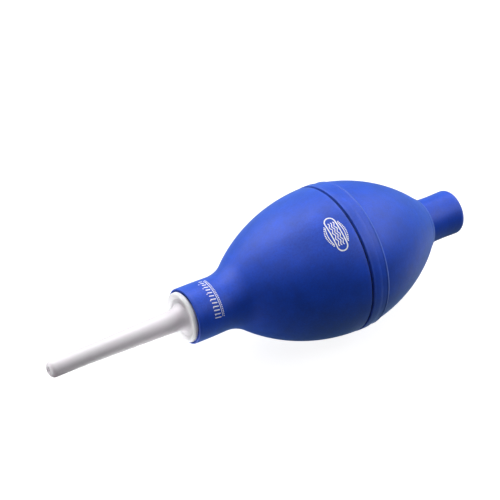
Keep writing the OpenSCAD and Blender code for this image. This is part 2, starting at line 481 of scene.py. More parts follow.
def rounded(corners, steps=6):
    """An open outline with rounded corners. A corner is (x, radius, rounding). The ends stay sharp."""
    points = []
    last_corner = len(corners) - 1
    for i, (x, r, rounding) in enumerate(corners):
        if rounding <= 0 or i in (0, last_corner):
            points.append((x, r))
            continue
        here = Vector((x, r))
        before = Vector(corners[i - 1][:2]) - here
        after = Vector(corners[i + 1][:2]) - here
        half = before.angle(after) / 2
        reach = min(rounding / math.tan(half), 0.49 * before.length, 0.49 * after.length)
        first = here + before.normalized() * reach
        last = here + after.normalized() * reach
        for k in range(steps + 1):
            t = k / steps
            p = first * (1 - t) ** 2 + here * 2 * t * (1 - t) + last * t**2
            points.append((p.x, p.y))
    return points


def dome(centre, radius, x_from, x_to, steps=48):
    """Points of a dome's arc from one x to another. Its centre can lie below the axis."""
    points = []
    for i in range(steps + 1):
        x = x_from + (x_to - x_from) * i / steps
        points.append((x, centre[1] + math.sqrt(max(radius**2 - (x - centre[0]) ** 2, 0))))
    return points


# Mesh work


def placed(name, data):
    """A new object in the scene."""
    obj = bpy.data.objects.new(name, data)
    bpy.context.scene.collection.objects.link(obj)
    return obj


def on_ring(x, radius, angle):
    """The point at x and at a radius and an angle about the bulb's axis."""
    return Vector((x, radius * math.cos(angle), AXIS_HEIGHT + radius * math.sin(angle)))


def bridge(bm, first, second):
    """Joins two closed rings of as many vertices with faces."""
    count = len(first)
    for k in range(count):
        n = (k + 1) % count
        bm.faces.new((first[k], first[n], second[n], second[k]))


def turn_outline(bm, outline, steps):
    """Turns a closed outline of (x, radius) points about the bulb's axis."""
    rings = []
    for x, radius in outline:
        rings.append([bm.verts.new(on_ring(x, radius, 2 * math.pi * k / steps)) for k in range(steps)])
    for i, ring in enumerate(rings):
        bridge(bm, ring, rings[(i + 1) % len(rings)])


def finish_mesh(bm, name, sharp=38):
    """Turns a bmesh into an object with smooth faces and with sharp edges above that angle."""
    bmesh.ops.remove_doubles(bm, verts=bm.verts, dist=1e-7)
    bmesh.ops.recalc_face_normals(bm, faces=bm.faces)
    for face in bm.faces:
        face.smooth = True
    limit = math.radians(sharp)
    for edge in bm.edges:
        if len(edge.link_faces) == 2 and edge.calc_face_angle() > limit:
            edge.smooth = False
    mesh = bpy.data.meshes.new(name)
    bm.to_mesh(mesh)
    bm.free()
    return placed(name, mesh)


def revolved(name, outline, steps=144):
    """A piece made by turning a closed outline about the bulb's axis."""
    bm = bmesh.new()
    turn_outline(bm, outline, steps)
    return finish_mesh(bm, name)


def tube_into(bm, path, radius, sides=8):
    """Adds a tube along a path of points, with closed ends."""
    rings = []
    for i, point in enumerate(path):
        ahead = path[min(i + 1, len(path) - 1)]
        behind = path[max(i - 1, 0)]
        along = (ahead - behind).normalized()
        across = along.cross(Vector((1, 0, 0)))
        if across.length < 0.2:
            across = along.cross(Vector((0, 0, 1)))
        across.normalize()
        up = along.cross(across)
        ring = []
        for k in range(sides):
            angle = 2 * math.pi * k / sides
            ring.append(bm.verts.new(point + (across * math.cos(angle) + up * math.sin(angle)) * radius))
        rings.append(ring)
    for first, second in zip(rings, rings[1:]):
        bridge(bm, first, second)
    bm.faces.new(rings[0])
    bm.faces.new(rings[-1])


def rest_on_floor(obj):
    """Flattens the soft rubber where it would press into the surface it lies on."""
    for vertex in obj.data.vertices:
        vertex.co.z = max(vertex.co.z, 0)


def dress(obj, material, body=None):
    """Gives a piece its one material, and lets it ride on a body."""
    obj.data.materials.clear()
    obj.data.materials.append(material)
    if body:
        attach(obj, body)
    return obj


def paint_node(node, material):
    """Gives a carried-over CAD node its material."""
    obj = frame["nodes"][node]
    obj.data.materials.clear()
    obj.data.materials.append(material)
    for polygon in obj.data.polygons:
        polygon.material_index = 0


# Materials


class Shader:
    """A material with a Principled shader, and short ways to add nodes to it."""

    def __init__(self, name, **values):
        self.material = bpy.data.materials.new(name)
        self.material.use_nodes = True
        self.tree = self.material.node_tree
        self.shader = self.tree.nodes["Principled BSDF"]
        for socket, value in values.items():
            self.shader.inputs[socket.replace("_", " ")].default_value = value
        self.where = self.tree.nodes.new("ShaderNodeTexCoord").outputs["Object"]

    def add(self, kind, **values):
        """A new node, with its sockets set or linked."""
        node = self.tree.nodes.new("ShaderNode" + kind)
        for socket, value in values.items():
            self.feed(node, socket.replace("_", " "), value)
        return node

    def feed(self, node, socket, value):
        """Sets a node's socket to a value, or links it to another socket."""
        if isinstance(value, bpy.types.NodeSocket):
            self.tree.links.new(value, node.inputs[socket])
        else:
            node.inputs[socket].default_value = value

    def noise(self, scale, detail=4, roughness=0.55, where=None):
        """A noise texture's value."""
        node = self.add("TexNoise", Scale=scale, Detail=detail, Roughness=roughness)
        self.feed(node, "Vector", where or self.where)
        return node.outputs["Fac"]

    def ramp(self, value, *stops):
        """A colour ramp over a value. Each stop is (position, colour)."""
        node = self.add("ValToRGB", Fac=value)
        elements = node.color_ramp.elements
        while len(elements) < len(stops):
            elements.new(0.5)
        for element, (position, colour) in zip(elements, stops):
            element.position = position
            element.color = (*colour, 1)
        return node.outputs["Color"]

    def span(self, value, low, high, out_low, out_high):
        """A value mapped from one range to another."""
        node = self.tree.nodes.new("ShaderNodeMapRange")
        self.tree.links.new(value, node.inputs[0])
        for index, number in enumerate((low, high, out_low, out_high), 1):
            node.inputs[index].default_value = number
        return node.outputs[0]

    def bump(self, value, strength, distance, under=None):
        """A bump from a value, over another bump if there is one."""
        node = self.add("Bump", Strength=strength, Distance=distance, Height=value)
        if under:
            self.feed(node, "Normal", under)
        return node.outputs["Normal"]

    def mix(self, factor, first, second, blend="MIX"):
        """Two colours mixed or multiplied."""
        node = self.tree.nodes.new("ShaderNodeMix")
        node.data_type = "RGBA"
        node.blend_type = blend
        for index, value in ((0, factor), (6, first), (7, second)):
            if isinstance(value, bpy.types.NodeSocket):
                self.tree.links.new(value, node.inputs[index])
            else:
                node.inputs[index].default_value = (*value, 1) if index else value
        return node.outputs[2]

    def rings(self, places):
        """A mask of soft rings about the bulb's axis, each one (x, half width, strength)."""
        along = self.add("SeparateXYZ", Vector=self.where).outputs["X"]
        total = None
        for x, half_width, strength in places:
            offset = self.math("SUBTRACT", along, x)
            near = self.span(self.math("ABSOLUTE", offset), 0, half_width, strength, 0)
            total = near if total is None else self.math("ADD", total, near)
        return self.math("MULTIPLY", total, self.span(self.noise(700, 3), 0.3, 0.6, 0.55, 1.0))

    def math(self, operation, first, second=None):
        """A math node's value."""
        node = self.tree.nodes.new("ShaderNodeMath")
        node.operation = operation
        for socket, value in zip(node.inputs, (first, second)):
            if isinstance(value, bpy.types.NodeSocket):
                self.tree.links.new(value, socket)
            elif value is not None:
                socket.default_value = value
        return node.outputs[0]

    def set(self, socket, value):
        """Feeds the Principled shader's socket."""
        self.feed(self.shader, socket, value)


def tint(colour, factor):
    """A colour made lighter or darker."""
    return tuple(min(c * factor, 1) for c in colour)


def rubber(name, colour, roughness, rubbed_and_highlight_rings=()):
    """Satin moulded rubber: fine grain, faint mottling, a soft bloom, and pale rings on edges and ridges
    that are partly rubbed wear and partly painted highlight.

    A pale ring lies about the bulb's axis, given as (x, half width, paleness); its paleness is partly
    painted highlight.
    """
    s = Shader(name, Sheen_Weight=0.6, Sheen_Roughness=0.5, Specular_IOR_Level=0.42, IOR=1.5)
    s.shader.inputs["Sheen Tint"].default_value = (0.32, 0.56, 1.0, 1)
    clouds = s.noise(150, 5, 0.6)
    grain = s.noise(1500, 3, 0.7)
    mottled = s.ramp(clouds, (0.30, tint(colour, 0.82)), (0.52, colour), (0.75, tint(colour, 1.18)))
    flecks = s.ramp(grain, (0.30, (0.52, 0.62, 0.78)), (0.62, (1.0, 1.0, 1.0)))
    finish = s.mix(0.8, mottled, flecks, "MULTIPLY")
    # Pale rings on edges, ridges and the lip: partly rubbed wear, partly painted highlight.
    if rubbed_and_highlight_rings:
        finish = s.mix(s.rings(rubbed_and_highlight_rings), finish, (0.16, 0.24, 0.62))
    s.set("Base Color", finish)
    s.set("Roughness", s.span(s.noise(420, 4), 0.25, 0.75, roughness - 0.05, roughness + 0.07))
    pores = s.bump(s.noise(5200, 3, 0.6), 0.16, 0.00006)
    s.set("Normal", s.bump(s.noise(900, 3), 0.10, 0.0001, pores))
    return s.material


def white_plastic(name, colour, roughness=0.34):
    """Moulded white plastic that lets a little light through, with faint flow marks along it."""
    s = Shader(
        name, Subsurface_Weight=0.6, Subsurface_Scale=0.004, Specular_IOR_Level=0.45, IOR=1.49
    )
    s.shader.inputs["Subsurface Radius"].default_value = (1.0, 0.9, 0.95)
    stretched = s.add("Mapping", Vector=s.where, Scale=(0.15, 1, 1)).outputs["Vector"]
    flow = s.noise(380, 4, 0.6, stretched)
    marks = s.ramp(flow, (0.30, tint(colour, 0.955)), (0.55, colour), (0.80, tint(colour, 1.02)))
    s.set("Base Color", marks)
    s.set("Roughness", s.span(s.noise(700, 4), 0.25, 0.75, roughness - 0.05, roughness + 0.08))
    s.set("Normal", s.bump(s.noise(2600, 3), 0.06, 0.00005))
    return s.material


def glue(name, colour):
    """The dull dark bead at the bottom of the seam's groove."""
    s = Shader(name, Specular_IOR_Level=0.3)
    s.set("Base Color", s.ramp(s.noise(900, 4), (0.3, tint(colour, 0.6)), (0.7, tint(colour, 1.3))))
    s.set("Roughness", s.span(s.noise(1500, 3), 0.3, 0.7, 0.6, 0.85))
    s.set("Normal", s.bump(s.noise(2200, 3), 0.3, 0.00008))
    return s.material


def soft_seal(name, colour, roughness):
    """The soft material of the O-rings, the valve seat and the valve disc."""
    s = Shader(name, Specular_IOR_Level=0.5)
    s.set("Base Color", s.ramp(s.noise(1200, 4), (0.3, tint(colour, 0.85)), (0.7, tint(colour, 1.15))))
    s.set("Roughness", s.span(s.noise(2600, 3), 0.3, 0.7, roughness - 0.06, roughness + 0.08))
    s.set("Normal", s.bump(s.noise(4200, 3), 0.10, 0.00004))
    return s.material


def turned_metal(name, colour, roughness, mark_scale):
    """Turned metal: fine tool marks that run round the bulb's axis."""
    s = Shader(name, Metallic=1.0)
    across = s.add("Mapping", Vector=s.where, Scale=(1, 0.02, 0.02)).outputs["Vector"]
    marks = s.noise(mark_scale, 3, 0.7, across)
    s.set("Base Color", s.ramp(s.noise(500, 5), (0.3, tint(colour, 0.86)), (0.7, colour)))
    s.set("Roughness", s.span(marks, 0.25, 0.75, roughness - 0.06, roughness + 0.14))
    s.set("Normal", s.bump(marks, 0.12, 0.00003))
    return s.material


def wire_metal(name, colour):
    """Bright drawn wire."""
    s = Shader(name, Metallic=1.0)
    s.set("Base Color", s.ramp(s.noise(2500, 4), (0.3, tint(colour, 0.80)), (0.7, colour)))
    s.set("Roughness", s.span(s.noise(3500, 3), 0.3, 0.7, 0.22, 0.38))
    return s.material


def foam(name, colour):
    """Open-cell foam, its pores darkened with painted shade."""
    s = Shader(name, Specular_IOR_Level=0.2)
    cells = s.tree.nodes.new("ShaderNodeTexVoronoi")
    cells.inputs["Scale"].default_value = 2600
    s.tree.links.new(s.where, cells.inputs["Vector"])
    depth = cells.outputs["Distance"]
    # Painted shade: the colour darkens towards the bottom of each pore.
    s.set("Base Color", s.ramp(depth, (0.05, tint(colour, 0.3)), (0.55, tint(colour, 1.6))))
    s.set("Roughness", s.span(s.noise(2000, 3), 0.3, 0.7, 0.85, 1.0))
    s.set("Normal", s.bump(depth, 0.7, 0.0002))
    return s.material


def ink(name, colour):
    """Screen-printed ink, a little worn and uneven."""
    s = Shader(name, Specular_IOR_Level=0.4)
    s.set("Base Color", s.ramp(s.noise(1700, 5, 0.7), (0.28, tint(colour, 0.62)), (0.48, colour)))
    s.set("Roughness", s.span(s.noise(1500, 3), 0.3, 0.7, 0.45, 0.65))
    s.set("Normal", s.bump(s.noise(3000, 3), 0.12, 0.00004))
    return s.material


def white_floor(name, glow):
    """A white floor that glows as a lit table does, with the faintest unevenness."""
    s = Shader(name, Specular_IOR_Level=0.0, Roughness=1.0)
    s.set("Base Color", s.ramp(s.noise(6, 4), (0.3, (0.27, 0.27, 0.27)), (0.7, (0.28, 0.28, 0.28))))
    s.shader.inputs["Emission Color"].default_value = (1, 1, 1, 1)
    s.shader.inputs["Emission Strength"].default_value = glow
    return s.material


# The bulb's shells


class Shells:
    """Where the two domes and the neck's hollow arc lie, from the bulb's settings."""

    def __init__(self):
        b = settings("blower_bulb")
        self.seam = SEAM.front - 0.0004
        self.wall = b.wall
        self.front_radius = b.front_arc
        self.front_centre = (self.seam - b.front_crown, RIM_RADIUS - b.crown_step - b.front_arc)
        self.rear_radius = b.rear_arc
        self.rear_centre = (self.seam + b.rear_crown, RIM_RADIUS + b.crown_step - b.rear_arc)
        self.spigot_radius = Box("seam_bond").radius - 0.00045
        self.spigot_end = Box("front_bulb").back
        rise = b.neck_radius - self.front_centre[1]
        run = b.neck_back + self.seam - self.front_centre[0]
        self.neck_arc = (run**2 + rise**2 - b.front_arc**2) / (2 * (b.front_arc - rise))
        self.neck_centre = (self.seam + b.neck_back, b.neck_radius + self.neck_arc)
        slope = math.atan2(
            self.neck_centre[1] - self.front_centre[1], self.neck_centre[0] - self.front_centre[0]
        )
        self.meeting_angle = math.degrees(slope)
        self.meeting_x = self.front_centre[0] + b.front_arc * math.cos(slope)

    def front(self, x, depth=0):
        """The front dome's radius at x, or its inner wall's at a depth."""
        radius = self.front_radius - depth
        return self.front_centre[1] + math.sqrt(radius**2 - (x - self.front_centre[0]) ** 2)

    def rear(self, x, depth=0):
        """The rear dome's radius at x, or its inner wall's at a depth."""
        radius = self.rear_radius - depth
        return self.rear_centre[1] + math.sqrt(radius**2 - (x - self.rear_centre[0]) ** 2)


class BLOWER_OT_front_shell(bpy.types.Operator):
    """Builds the front half of the bulb, with its neck"""

    bl_idname = "blower.front_shell"
    bl_label = "Front Shell"

    def execute(self, context):
        b = settings("blower_bulb")
        s = Shells()
        box = Box("front_bulb")
        barrel = b.neck_radius - b.wall
        swell = b.neck_radius + b.neck_swell
        inner_radius = s.front_radius - s.wall
        inner_meeting = s.front_centre[0] + inner_radius * math.cos(math.radians(s.meeting_angle))
        groove_front = SEAM.front + 0.00015
        edge_end = SEAM.front + 0.002
        dome_back = SEAM.front + 0.003
        gap_radius = Box("nozzle_collar").radius + b.collar_gap
        gap_floor = box.front - 0.0007
        barrel_step = 0.0004
        outline = rounded(
            [
                (s.spigot_end, s.rear(s.spigot_end, s.wall), 0),
                (s.spigot_end, s.spigot_radius, EDGE),
                (groove_front, s.spigot_radius, 0),
                (groove_front, s.front(groove_front), EDGE),
                (edge_end, s.front(edge_end), 0),
            ]
        )
        outline += dome(s.front_centre, s.front_radius, dome_back, s.meeting_x, 56)
        outline += arc(s.neck_centre, s.neck_arc, s.meeting_angle + 180, 270, 20)
        outline += [(s.neck_centre[0] + SWELL_RUN, swell)]
        end = (box.front - b.neck_round, swell - b.neck_round)
        outline += arc(end, b.neck_round, 90, 0, 10)
        outline += [(box.front - EDGE, gap_radius + FINE_EDGE / 2), (gap_floor, gap_radius)]
        outline += [(gap_floor, barrel + barrel_step), (gap_floor - barrel_step, barrel)]
        outline += arc(s.neck_centre, s.neck_arc + s.wall, 270, s.meeting_angle + 180, 16)
        outline += dome(s.front_centre, inner_radius, inner_meeting, dome_back, 32)
        shell = revolved("front_shell", outline, 192)
        rest_on_floor(shell)
        # Pale rings at the seam's edge and near the neck's end: partly rubbed wear, partly painted
        # highlight.
        rubbed_and_highlight_rings = ((SEAM.front + 0.0005, 0.0006, 0.10), (box.front - 0.0012, 0.0007, 0.06))
        dress(shell, rubber("blue_rubber_front", b.colour, b.roughness, rubbed_and_highlight_rings), "bulb")
        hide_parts("front_bulb")
        return {"FINISHED"}


class BLOWER_OT_rear_shell(bpy.types.Operator):
    """Builds the rear half of the bulb, with its rim band and its lip"""

    bl_idname = "blower.rear_shell"
    bl_label = "Rear Shell"

    def execute(self, context):
        b = settings("blower_bulb")
        s = Shells()
        back = Box("rear_bulb").back
        lip_front = back + 0.002
        lip_radius = 0.00735
        seat_radius = 0.0094
        lip_round = 0.0007
        lip_start = 0.0024
        band_end = s.seam - b.rim_band
        band_rise = 0.00014
        land_end = SEAM.back - 0.0026
        land_blend = 0.0012
        bead = 0.00065
        lip_bead = back + 0.0010
        lip_bead_width = 0.0011
        inner = s.rear_radius - s.wall
        seat_x = s.rear_centre[0] - math.sqrt(inner**2 - (seat_radius - s.rear_centre[1]) ** 2)

        def swell(x, centre, half_width, height):
            offset = min(abs(x - centre) / half_width, 1)
            return height * (0.5 + 0.5 * math.cos(math.pi * offset))

        def outside(x):
            radius = s.rear(x) + swell(x, band_end, bead, b.ridge_height)
            radius += swell(x, lip_bead, lip_bead_width, b.ridge_height * 0.8)
            if x > band_end:
                t = (x - band_end) / (land_end - band_end)
                radius += band_rise * (1 - t) ** 0.5 * min(t * 6, 1) if t < 1 else 0
            return radius

        outline = rounded(
            [(SEAM.back, s.spigot_radius, 0), (SEAM.back, RIM_RADIUS, EDGE), (land_end, RIM_RADIUS, 0)]
        )
        steps = 64
        for i in range(1, steps + 1):
            x = land_end + (band_end - 2 * bead - land_end) * i / steps
            blend = min((land_end - x) / land_blend, 1)
            outline.append((x, RIM_RADIUS + (outside(x) - RIM_RADIUS) * blend))
        outline += dome(s.rear_centre, s.rear_radius, band_end - 2.2 * bead, back + lip_start, 64)
        for i in range(1, 17):
            x = back + lip_start + (lip_round - lip_start) * i / 16
            outline.append((x, outside(x)))
        outer_end = outline[-1][1]
        outline += rounded(
            [
                (back + lip_round, outer_end, 0),
                (back + 0.0003, outer_end - 0.00022, SOFT_EDGE),
                (back, outer_end - 0.0006, SOFT_EDGE),
                (back, lip_radius, SOFT_EDGE),
                (lip_front, lip_radius, 0),
                (lip_front, seat_radius, 0),
            ]
        )[1:]
        outline += dome(s.rear_centre, inner, seat_x, s.spigot_end, 40)
        outline += [(s.spigot_end, s.spigot_radius)]
        shell = revolved("rear_shell", outline, 192)
        rest_on_floor(shell)
        # Pale rings on the band's ridge, the rim and the lip bead: partly rubbed wear, partly painted
        # highlight.
        rubbed_and_highlight_rings = (
            (band_end, bead, 0.34),
            (SEAM.back - 0.0005, 0.0007, 0.14),
            (lip_bead - 0.0004, lip_bead_width, 0.26),
        )
        dress(shell, rubber("blue_rubber_rear", b.colour, b.roughness, rubbed_and_highlight_rings))
        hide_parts("rear_bulb")
        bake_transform(shell)
        paint_node("seam_bond", glue("seam_glue", (0.004, 0.010, 0.075)))
        return {"FINISHED"}


# The nozzle and its collar


class BLOWER_OT_nozzle(bpy.types.Operator):
    """Builds the white nozzle and the collar that it pushes into"""

    bl_idname = "blower.nozzle"
    bl_label = "Nozzle and Collar"

    def execute(self, context):
        n = settings("blower_nozzle")
        self.build_nozzle(n, white_plastic("nozzle_plastic", n.colour))
        # The collar's plastic is the nozzle's white made brighter: painted light.
        self.build_collar(n, white_plastic("collar_plastic", n.collar_white_with_painted_light))
        paint_node("nozzle_seal", soft_seal("nozzle_ring_rubber", (0.012, 0.012, 0.014), 0.42))
        return {"FINISHED"}

    def build_nozzle(self, n, plastic):
        """The tube with its rounded tip, trumpet root, flange and grooved stem."""
        box = Box("nozzle")
        ring = Box("nozzle_seal")
        tube = mount_radius("nozzle_tube")
        mouth = mount_radius("air_outlet")
        collar_front = Box("nozzle_collar").front
        face = collar_front - RUNNING - n.dish
        flange_back = collar_front - n.socket_depth + RUNNING
        ring_mid = (ring.back + ring.front) / 2
        groove = (ring_mid - 0.0008, ring_mid + 0.0008)
        groove_radius = 0.00365
        taper_front = MOUNTS["nozzle_tube"]["pos_m"][0] - mount_length("nozzle_tube") / 2
        mouth_depth = mount_length("air_outlet")
        mouth_cone = 0.0012
        flare = n.foot_radius - n.root_radius
        root_round = (flare**2 + n.root_length**2) / (2 * flare)
        root_start = 180 + math.degrees(math.acos(n.root_length / root_round))
        flange_gap = 0.00006
        flange = n.socket_radius - flange_gap
        outline = rounded(
            [
                (box.back, n.bore_radius, 0),
                (box.back, n.stem_radius, 0.0005),
                (groove[0], n.stem_radius, FINE_EDGE),
                (groove[0], groove_radius, FINE_EDGE),
                (groove[1], groove_radius, FINE_EDGE),
                (groove[1], n.stem_radius, FINE_EDGE),
                (flange_back, n.stem_radius, 0),
                (flange_back, flange, FINE_EDGE),
                (face, flange, FINE_EDGE),
                (face, n.foot_radius, 0),
            ]
        )
        root_centre = (face + n.root_length, n.root_radius + root_round)
        outline += arc(root_centre, root_round, root_start, 270, 20)[1:]
        outline += [(taper_front, tube)]
        outline += [(box.front - n.tip_round - 0.01, tube)]
        outline += arc((box.front - n.tip_round, tube - n.tip_round), n.tip_round, 90, 0, 14)
        outline += rounded(
            [
                (box.front, mouth + EDGE, 0),
                (box.front, mouth, 0.00012),
                (box.front - mouth_depth, mouth, 0),
                (box.front - mouth_depth - mouth_cone, n.bore_radius, 0),
            ]
        )
        nozzle = revolved("nozzle_tube", outline, 96)
        dress(nozzle, plastic, "nozzle")
        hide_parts("nozzle")

    def build_collar(self, n, plastic):
        """The flange with its rounded edge, the recessed socket and the barbed barrel."""
        box = Box("nozzle_collar")
        neck_end = Box("front_bulb").front
        barrel = settings("blower_bulb").neck_radius - settings("blower_bulb").wall
        valve_radius = Box("outlet_valve_cage").radius
        valve_front = Box("outlet_valve_cage").front
        socket_floor = box.front - n.socket_depth
        stem_bore = n.stem_radius + RUNNING
        barb_length, barb_rise = 0.0013, 0.0004
        outline = [(box.back, valve_radius), (box.back, barrel - 0.0005), (box.back + 0.0008, barrel)]
        for start in (0.0052, 0.0082, 0.0112):
            barb = box.back + start
            top = (barb + barb_length, barrel + barb_rise)
            outline += [(barb, barrel), top, (barb + barb_length, barrel)]
        outline += [(neck_end, barrel), (neck_end, box.radius - SOFT_EDGE)]
        outline += [(neck_end + SOFT_EDGE, box.radius)]
        rim = (box.front - n.collar_round, box.radius - n.collar_round)
        outline += arc(rim, n.collar_round, 90, 0, 12)
        outline += rounded(
            [
                (box.front, rim[1] - FINE_EDGE, 0),
                (box.front - n.dish, n.socket_radius, FINE_EDGE),
                (socket_floor, n.socket_radius, FINE_EDGE),
                (socket_floor, stem_bore, EDGE),
                (valve_front, stem_bore, 0),
                (valve_front, valve_radius, 0),
            ]
        )
        collar = revolved("nozzle_collar_ring", outline, 144)
        dress(collar, plastic, "bulb")
        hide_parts("nozzle_collar")


# The tail and what it holds


class BLOWER_OT_tail(bpy.types.Operator):
    """Builds the blue tail that the rear shell's lip holds"""

    bl_idname = "blower.tail"
    bl_label = "Tail"

    def execute(self, context):
        b = settings("blower_bulb")
        t = settings("blower_tail")
        box = Box("tail_plug")
        bore = Box("inlet_valve_body").radius
        valve_front = Box("inlet_valve_body").front
        lip_back = Box("rear_bulb").back - RUNNING
        lip_front = Box("rear_bulb").back + 0.002 + RUNNING
        radius = mount_radius("tail_grip")
        throat = 0.0039
        groove = 0.0073
        waist = 0.00012
        root = 0.0005
        outline = rounded(
            [
                (box.front, throat, 0),
                (box.front, box.radius, 0.0006),
                (lip_front, box.radius, FINE_EDGE),
                (lip_front, groove, FINE_EDGE),
                (lip_back, groove, 0),
            ]
        )
        outline += arc((lip_back - root, radius + root), root, 0, -90, 10)
        waist_start, waist_end = lip_back - root, box.back + t.end_round
        for i in range(1, 21):
            x = waist_start + (waist_end - waist_start) * i / 21
            outline.append((x, radius - waist * math.sin(math.pi * i / 21) ** 2))
        outline += arc((box.back + t.end_round, radius - t.end_round), t.end_round, 90, 180, 16)
        outline += rounded(
            [
                (box.back, bore + 2 * EDGE, 0),
                (box.back, bore, EDGE),
                (valve_front, bore, 0),
                (valve_front, throat, 0),
            ]
        )
        tail = revolved("tail_boss", outline, 128)
        dress(tail, rubber("blue_rubber_tail", b.colour, b.roughness), "tail")
        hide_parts("tail_plug")
        return {"FINISHED"}


class BLOWER_OT_filter(bpy.types.Operator):
    """Builds the end cap with its air holes, the woven screen and the foam disc"""

    bl_idname = "blower.filter"
    bl_label = "Cap, Screen and Filter"

    def execute(self, context):
        t = settings("blower_tail")
        self.build_cap(t)
        self.build_screen(t)
        self.build_foam()
        return {"FINISHED"}

    def build_cap(self, t):
        """A round plate with holes, a skirt behind it and a rib to pull it by."""
        box = Box("filter_cap")
        screen = Box("filter_screen")
        rib_height = 0.0005
        face = box.back + rib_height
        plate_front = screen.back
        bevel = 0.00012
        curve = bpy.data.curves.new("cap_plate", "CURVE")
        curve.dimensions = "2D"
        curve.fill_mode = "BOTH"
        curve.extrude = (plate_front - face) / 2 - bevel
        curve.bevel_depth = bevel
        curve.bevel_resolution = 3
        circles = [(0, 0, box.radius - bevel)]
        for i in range(t.cap_holes):
            angle = 2 * math.pi * (i + 0.5) / t.cap_holes
            ring = t.cap_hole_ring
            circles.append((ring * math.cos(angle), ring * math.sin(angle), t.cap_hole_radius + bevel))
        for x, y, radius in circles:
            spline = curve.splines.new("POLY")
            steps = 96 if radius > t.cap_hole_ring else 32
            spline.points.add(steps - 1)
            for k in range(steps):
                angle = 2 * math.pi * k / steps
                spline.points[k].co = (x + radius * math.cos(angle), y + radius * math.sin(angle), 0, 1)
            spline.use_cyclic_u = True
        holder = placed("cap_plate", curve)
        bpy.context.view_layer.update()
        filled = holder.evaluated_get(bpy.context.evaluated_depsgraph_get())
        flat = bpy.data.meshes.new_from_object(filled)
        bpy.data.objects.remove(holder)
        bm = bmesh.new()
        bm.from_mesh(flat)
        middle = (face + plate_front) / 2
        for vertex in bm.verts:
            u, v, w = vertex.co
            vertex.co = (middle + w, u, AXIS_HEIGHT + v)
        self.add_skirt(bm, box, plate_front)
        self.add_rib(bm, box, face, rib_height)
        cap = finish_mesh(bm, "filter_end_cap", 50)
        dress(cap, white_plastic("cap_plastic", (0.74, 0.74, 0.72), 0.42), "cap")
        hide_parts("filter_cap")

    def add_skirt(self, bm, box, plate_front):
        """The thin ring that fits in the tail's bore."""
        inner = Box("filter_screen").radius + 0.00002
        start = plate_front - EDGE
        outline = rounded(
            [
                (start, inner, 0),
                (start, box.radius, 0),
                (box.front, box.radius, 0.00015),
                (box.front, inner, 0),
            ]
        )
        turn_outline(bm, outline, 96)

    def add_rib(self, bm, box, face, height):
        """The rounded rib across the cap's face."""
        half_length = box.radius - 0.001
        half_width = 0.0005
        sunk = 0.0001
        sides = 12
        stations = 24
        rings = []
        for i in range(stations + 1):
            t = i / stations * 2 - 1
            fade = math.sqrt(max(1 - t**8, 0))
            ring = []
            for k in range(sides + 1):
                angle = math.pi * k / sides
                out = height * math.sin(angle) ** 0.5 * fade if 0 < k < sides else 0
                x = face - out if out > 0 else face + sunk
                width = half_width * math.cos(angle) * (0.35 + 0.65 * fade)
                ring.append(bm.verts.new((x, width, AXIS_HEIGHT + half_length * t)))
            rings.append(ring)
        for first, second in zip(rings, rings[1:]):
            bridge(bm, first, second)
        bm.faces.new(rings[0])
        bm.faces.new(rings[-1])

    def build_screen(self, t):
        """A plain weave of fine wire, with a rolled hem."""
        box = Box("filter_screen")
        middle = (box.back + box.front) / 2
        radius = box.radius - 2 * t.wire
        bm = bmesh.new()
        count = int(radius / t.wire_pitch)
        for turned in (False, True):
            for i in range(-count, count + 1):
                offset = i * t.wire_pitch
                half = math.sqrt(radius**2 - offset**2)
                steps = max(4, int(8 * half / t.wire_pitch))
                path = []
                for k in range(steps + 1):
                    along = half * (2 * k / steps - 1)
                    wave = math.cos(math.pi * along / t.wire_pitch) * (1 if i % 2 else -1)
                    depth = t.wire * 0.95 * wave * (-1 if turned else 1)
                    y, z = (along, offset) if turned else (offset, along)
                    path.append(Vector((middle + depth, y, AXIS_HEIGHT + z)))
                tube_into(bm, path, t.wire, 6)
        hem = [on_ring(middle, radius, 2 * math.pi * k / 96) for k in range(97)]
        tube_into(bm, hem, 1.9 * t.wire, 8)
        screen = finish_mesh(bm, "filter_mesh_screen", 60)
        dress(screen, wire_metal("screen_wire", (0.60, 0.61, 0.62)), "cap")
        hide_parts("filter_screen")

    def build_foam(self):
        """A soft-edged foam disc with an uneven, open surface."""
        box = Box("dust_filter")
        pile = 0.00014
        rings = 34
        outline = []
        for i in range(rings + 1):
            outline.append((box.back + pile, 0.00002 + (box.radius - 0.0004) * i / rings))
        outline += [(box.back + 0.0004, box.radius - pile), (box.front - 0.0004, box.radius - pile)]
        for i in range(rings, -1, -1):
            outline.append((box.front - pile, 0.00002 + (box.radius - 0.0004) * i / rings))
        disc = revolved("foam_filter", outline, 160)
        for vertex in disc.data.vertices:
            push = noise.noise(vertex.co * 2400) * pile
            vertex.co.x += max(-pile, min(pile, push))
        dress(disc, foam("filter_foam", (0.10, 0.105, 0.11)), "tail")
        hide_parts("dust_filter")


